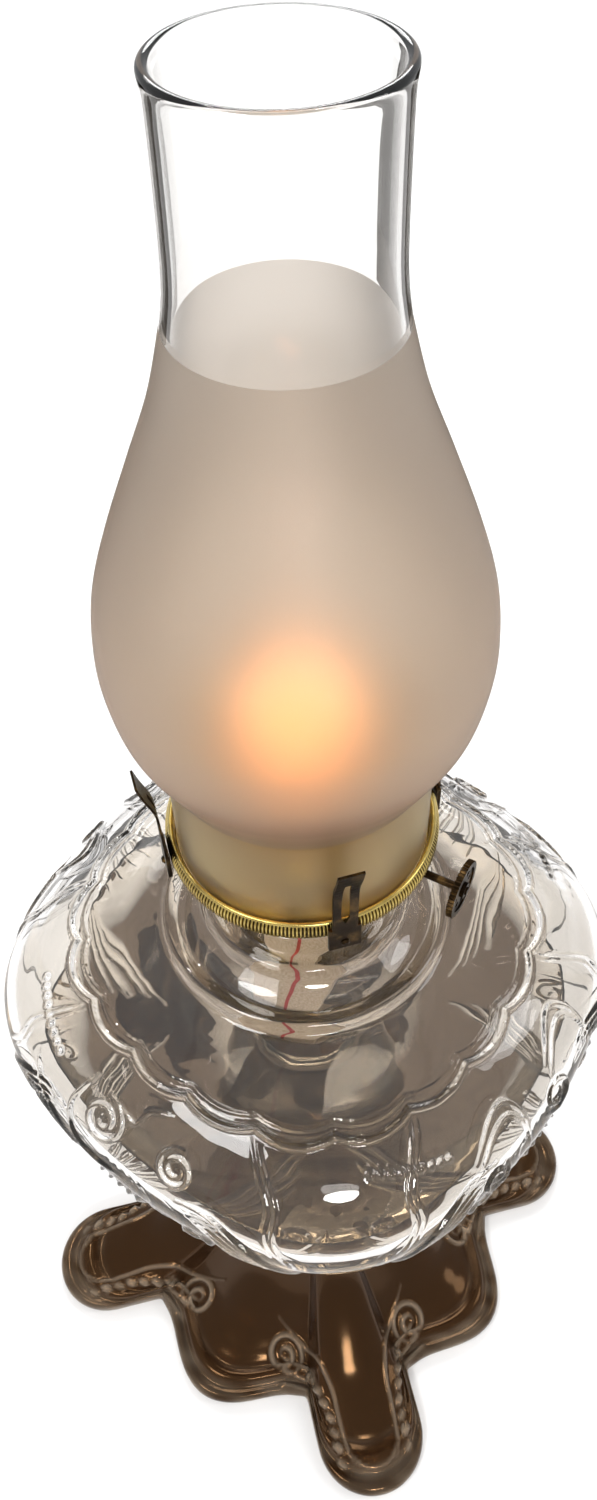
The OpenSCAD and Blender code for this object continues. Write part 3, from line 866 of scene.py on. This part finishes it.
def make_base():
    """The hollow pedestal: plain under, pressed relief and flutes over."""
    azimuth = np.arange(1080) / 3.0
    under = base_grid(curve(BASE_UNDER, 2.0), azimuth)
    over = base_grid(BASE_TOP_PROFILE, azimuth)
    normals = normals_of(over)
    z, radius = over[..., 2], np.hypot(over[..., 0], over[..., 1])
    height = base_relief().height_over(over)
    # Raised lines get the clear mark: painted highlights.
    clear = np.clip(height / 1.6, 0, 1)
    flutes = np.abs(np.cos(np.radians(azimuth * 6)))[None, :] ** 0.7
    on_stem = np.clip((z - 74) / 24, 0, 1) * np.clip((STEM_TOP - 46 - z) / 14, 0, 1)
    height = height + 0.7 * flutes * on_stem
    height += 0.10 * ripple(over, 24, 9)
    tip_room = np.clip((FOOT_REACH - radius) / 2.0, 0, 1)
    floor_room = np.clip(z / 3, 0, 1) * np.clip((STEM_TOP - z) / 4, 0, 1)
    over = over + normals * (height * tip_room * floor_room)[..., None]
    # A paler, mottled band round the outer rim: painted highlight streaks.
    edge = np.clip((9.0 - z) / 6, 0, 1) * np.clip((radius - 70) / 10, 0, 1)
    clear = np.maximum(clear * 0.8, edge * (0.55 + 0.45 * ripple(over, 12, 21)))
    points, faces = capped(np.concatenate([under, over]))
    under_clear = 0.6
    marks = {"clear": np.concatenate([
        np.full(under[..., 0].size, under_clear), np.clip(clear, 0, 1).ravel(), [under_clear, 0],
    ])}
    piece = new_piece("base_glass", "glass", points, faces, GLASS_BASE, marks)
    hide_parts("base")


# ---------------------------------------------------------------- chimney

CHIMNEY_WALL = 2.3
TUBE_R = 23.7  # the clear tube's outer radius


def make_chimney():
    """Blown chimney: plain fitter, bulb, and a clear tube with a fire-polished lip."""
    g = GALLERY_Z
    fitter_end, bulb_end = (FITTER_R, g + FITTER_TOP - 1), (TUBE_R + 1.6, FROST_TOP)
    fitter = curve([(FITTER_R, CHIMNEY_LOW + 0.8), (FITTER_R, g + 20), fitter_end], 1.5)
    bulb = curve([
        fitter_end, (FITTER_R + 0.4, g + FITTER_TOP + 0.5), (FITTER_R + 2.3, g + 43.5),
        (FITTER_R + 6.4, g + 52), (BULB_R - 2.4, g + 62), (BULB_R - 0.3, g + 74),
        (BULB_R - 0.1, g + 84), (BULB_R - 2, g + 98), (BULB_R - 7.1, g + 114),
        (BULB_R - 14.1, g + 132), (BULB_R - 21.2, g + 150), bulb_end,
    ], 1.0)
    tube = curve([
        bulb_end, (TUBE_R + 0.4, g + 176), (TUBE_R, g + 188), (TUBE_R, CHIMNEY_TOP - 8),
        (TUBE_R + 0.5, CHIMNEY_TOP - 2.0),
    ], 1.0)
    outer = np.vstack([fitter, bulb[1:], tube[1:]])
    d = np.gradient(outer, axis=0)
    d /= np.linalg.norm(d, axis=1, keepdims=True)
    inner = outer + np.stack([-d[:, 1], d[:, 0]], -1) * CHIMNEY_WALL
    half = CHIMNEY_WALL / 2
    turn = np.linspace(0, math.pi, 9)[1:-1]
    top_c, low_c = (outer[-1] + inner[-1]) / 2, (outer[0] + inner[0]) / 2
    across, up = np.cos(turn), np.sin(turn)
    lip = np.stack([top_c[0] + half * 1.08 * across, top_c[1] + half * 1.2 * up], -1)
    foot = np.stack([low_c[0] - half * across, low_c[1] - 0.7 * up], -1)
    loop = np.vstack([outer, lip, inner[::-1], foot])
    cols = 256
    a = np.arange(cols) * 2 * math.pi / cols
    radius, z = loop[:, :1], loop[:, 1:]
    grid = np.stack([radius * np.cos(a), radius * np.sin(a), z + 0 * a], -1)
    out_of_round = 0.12 * ripple(grid, 90, 11) * np.clip((grid[..., 2] - g - 40) / 20, 0, 1)
    grid[..., :2] *= (1 + out_of_round / 40)[..., None]
    points, faces = looped(grid)
    marks = {"outer": np.repeat(np.arange(len(loop)) < len(outer), cols)}
    piece = new_piece("chimney_glass", "chimney", points, faces, CHIMNEY, marks)
    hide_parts("chimney")


# ---------------------------------------------------------------- gallery ring

KNURLS = 236
LIP_R = 0.7


def make_gallery_ring():
    """Thin stamped ring: a knurled band under a rolled lip, with a shelf inside for the chimney."""
    low, high = node_box("gallery_ring")
    outer_r, z0, z1 = high[0], low[2], high[2]
    band = [
        (outer_r - 0.5, z0), (outer_r - 0.1, z0 + 0.3), (outer_r, z0 + 0.8), (outer_r, z1 - 2.6),
        (outer_r - 0.15, z1 - 2.0), (outer_r - 0.75, z1 - 1.0), (outer_r - 1.0, z1 - 0.75),
    ]
    turn = np.radians(np.linspace(20, 200, 9))
    lip = np.stack([outer_r - 1.75 + LIP_R * np.cos(turn), z1 - LIP_R + LIP_R * np.sin(turn)], -1)
    shelf_r = 33.0
    inside = [
        (FITTER_R + 0.55, z1 - 2.2), (FITTER_R + 0.5, z0 + 1.4), (FITTER_R + 0.1, z0 + 0.85),
        (shelf_r + 0.2, z0 + 0.8), (shelf_r, z0 + 0.4), (shelf_r + 0.2, z0),
    ]
    profile = np.vstack([band, lip, inside])
    steps_per_knurl = 8
    cols = KNURLS * steps_per_knurl
    a = np.arange(cols) * 2 * math.pi / cols
    tooth = np.clip(1.1 * np.abs(np.sin(a * KNURLS / 2)), 0, 1) ** 1.3
    depth = np.zeros(len(profile))
    depth[1:6] = (0.6, 0.85, 0.9, 0.9, 0.7)
    radius = profile[:, :1] - depth[:, None] * (1 - tooth)
    points, faces = looped(
        np.stack([radius * np.cos(a), radius * np.sin(a), profile[:, 1:] + 0 * a], -1)
    )
    # The gap mark says where painted shade between the knurls goes.
    marks = {"gap_shade": ((depth > 0)[:, None] * (1 - tooth)).ravel()}
    piece = new_piece("gallery_band", "burner", points, faces, knurled_brass(), marks)
    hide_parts("gallery_ring")


# ---------------------------------------------------------------- flame


def make_flame():
    """A flat flame: wide across the wick, thin through it, with a leaning tip."""
    rows, cols = 40, 32
    t = np.linspace(0, 1, rows)
    half_width, half_depth, tip_lean = 10.5, 2.9, 2.0
    swell = np.sin(np.clip(t * 1.02, 0, 1) * math.pi * 0.94 + 0.16) ** 0.8
    wide = half_width * swell * (1 - 0.55 * t**2)
    thick = half_depth * np.sin(t * math.pi * 0.92 + 0.2) ** 0.7 * (1 - 0.5 * t)
    z = FLAME_LOW + FLAME_RISE * t
    a = np.arange(cols) * 2 * math.pi / cols
    lean = tip_lean * t**2
    turn = math.radians(SHAFT_AZ)
    u = wide[:, None] * np.cos(a) + lean[:, None]
    v = thick[:, None] * np.sin(a)
    grid = np.stack([
        u * math.cos(turn) - v * math.sin(turn), u * math.sin(turn) + v * math.cos(turn),
        z[:, None] + 0 * u,
    ], -1)
    points, faces = capped(grid, poles=[grid[0].mean(0), grid[-1].mean(0) + [0, 0, 1.0]])
    new_piece("flame", "wick", points, faces, flame_material(), {})


# ---------------------------------------------------------------- oil


def make_oil():
    """The oil in the font, with its surface drawn up a little where it meets the glass."""
    level = node_box("lamp_oil")[1][2]
    inside = curve(FONT_INSIDE, 1.6)[::-1]
    wet = inside[inside[:, 2] < level - 0.3] + [0.35, 0, 0]
    edge_r, share = wet[-1, 0] + 0.2, wet[-1, 1]
    rim = [
        (edge_r + 0.3, share, level - 0.1), (edge_r - 0.6, share, level - 0.45),
        (edge_r - 2.0, share, level - 0.6),
    ]
    top = [(r, share * r / edge_r, level - 0.62) for r in (edge_r - 8, edge_r / 2, 3)]
    points, faces = capped(surface_grid(np.vstack([wet, rim, top]), 240))
    piece = new_piece("oil_fill", "glass", points, faces, oil_material(), {})
    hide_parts("lamp_oil")


# ---------------------------------------------------------------- build

make_font()
make_base()
make_oil()
make_chimney()
make_gallery_ring()
make_flame()


def dress(node, look):
    """Gives a CAD node a new material."""
    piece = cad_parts[node]
    piece.data.materials.clear()
    piece.data.materials.append(look)


dress("joining_wafer", GLASS_BASE)
for brass_node in (
    "collar", "burner_base", "burner_basket", "air_diffuser", "wick_tube",
    "vent_tube", "deflector_cone", "shaft_bush", "spur_wheels",
):
    dress(brass_node, BRASS)
dress("collar_cement", plaster_material())
for bronze_node in ("raiser_shaft", "thumbwheel"):
    dress(bronze_node, BRONZE)
for number in range(1, 5):
    dress(f"prong_{number}", BRONZE)
    dress(f"prong_rivet_{number}", BRONZE)
dress("wick", wick_material())
dress("wick_tracer", thread_material())


# ---------------------------------------------------------------- stage and light


def flat_sheet(name, corners, look):
    """A flat four-cornered sheet of the stage, with its corners in metres."""
    mesh = bpy.data.meshes.new(name)
    mesh.from_pydata(corners, [], [(0, 1, 2, 3)])
    mesh.materials.append(look)
    sheet = bpy.data.objects.new(name, mesh)
    bpy.context.scene.collection.objects.link(sheet)
    return sheet


def make_floor():
    """A plain pale floor under the lamp."""
    look = material("floor_plain", Base_Color=(0.86, 0.85, 0.84, 1), Roughness=0.9)[0]
    half = 3.0
    corners = [(-half, -half, 0), (half, -half, 0), (half, half, 0), (-half, half, 0)]
    flat_sheet("floor", corners, look)


def area_light(name, place, target, size, power):
    """A soft oval light at a place, facing a target, in metres and watts."""
    data = bpy.data.lights.new(name, "AREA")
    data.shape = "ELLIPSE"
    data.size, data.size_y = size
    data.energy = power
    light = bpy.data.objects.new(name, data)
    light.location = place
    light.rotation_euler = (Vector(target) - Vector(place)).to_track_quat("-Z", "Y").to_euler()
    bpy.context.scene.collection.objects.link(light)


def flame_glow():
    """The flame's own light, soft enough to spread behind the frosted glass."""
    data = bpy.data.lights.new("flame_glow", "POINT")
    data.energy = 0.037
    data.color = (1.0, 0.42, 0.17)
    data.shadow_soft_size = 0.019  # a radius in metres: the size of the glow in the frosting
    light = bpy.data.objects.new("flame_glow", data)
    half_way_up = FLAME_LOW + 19
    light.location = (0, 0, half_way_up * MM)
    light.visible_glossy = False
    bpy.context.scene.collection.objects.link(light)


def make_light():
    """A pale world, soft studio lights, and the flame's glow."""
    world = bpy.data.worlds.new("world")
    bpy.context.scene.world = world
    world.use_nodes = True
    back = world.node_tree.nodes["Background"]
    back.inputs["Color"].default_value = (0.94, 0.95, 0.97, 1)
    back.inputs["Strength"].default_value = 0.66
    middle, low_middle, font_front = (0, 0, 0.25), (0, 0, 0.2), (0, -0.09, 0.27)
    area_light("key", (-0.9, -0.7, 1.7), middle, (0.7, 0.7), 16)
    area_light("fill", (1.3, -0.2, 1.1), middle, (0.5, 0.9), 5)
    area_light("back", (0.15, 1.5, 1.5), middle, (1.4, 0.7), 14)
    area_light("far_floor", (0, 2.1, 1.7), (0, 2.1, 0), (2.4, 1.0), 12)
    area_light("lamp_front", (0.05, -0.95, 0.78), font_front, (0.32, 0.15), 4.5)
    area_light("lamp_left", (-0.35, 0.55, 1.6), low_middle, (0.06, 0.06), 1.6)
    area_light("lamp_right", (0.3, 0.2, 1.7), low_middle, (0.06, 0.06), 1.6)
    flame_glow()


def dark_card(name, side):
    """A black card lying behind and beside the lamp; only gloss and glass see it, as dark edges."""
    look = material(name, Base_Color=(0.02, 0.015, 0.01, 1), Roughness=1.0)[0]
    near, far = 0.6, 1.7
    inward, outward = 0.33, 0.95  # metres aside for each metre back
    height = 0.004
    corners = [
        (side * aside * back, back, height)
        for aside, back in ((inward, near), (outward, near), (outward, far), (inward, far))
    ]
    card = flat_sheet(name, corners, look)
    card.visible_camera = False
    card.visible_diffuse = False
    card.visible_shadow = False


make_floor()
dark_card("card_left", -1)
dark_card("card_right", 1)
make_light()

scene = bpy.context.scene
scene.view_settings.view_transform = "Standard"
scene.cycles.max_bounces = 24
scene.cycles.transmission_bounces = 20
scene.cycles.glossy_bounces = 6
scene.cycles.transparent_max_bounces = 12
scene.cycles.sample_clamp_indirect = 6.0
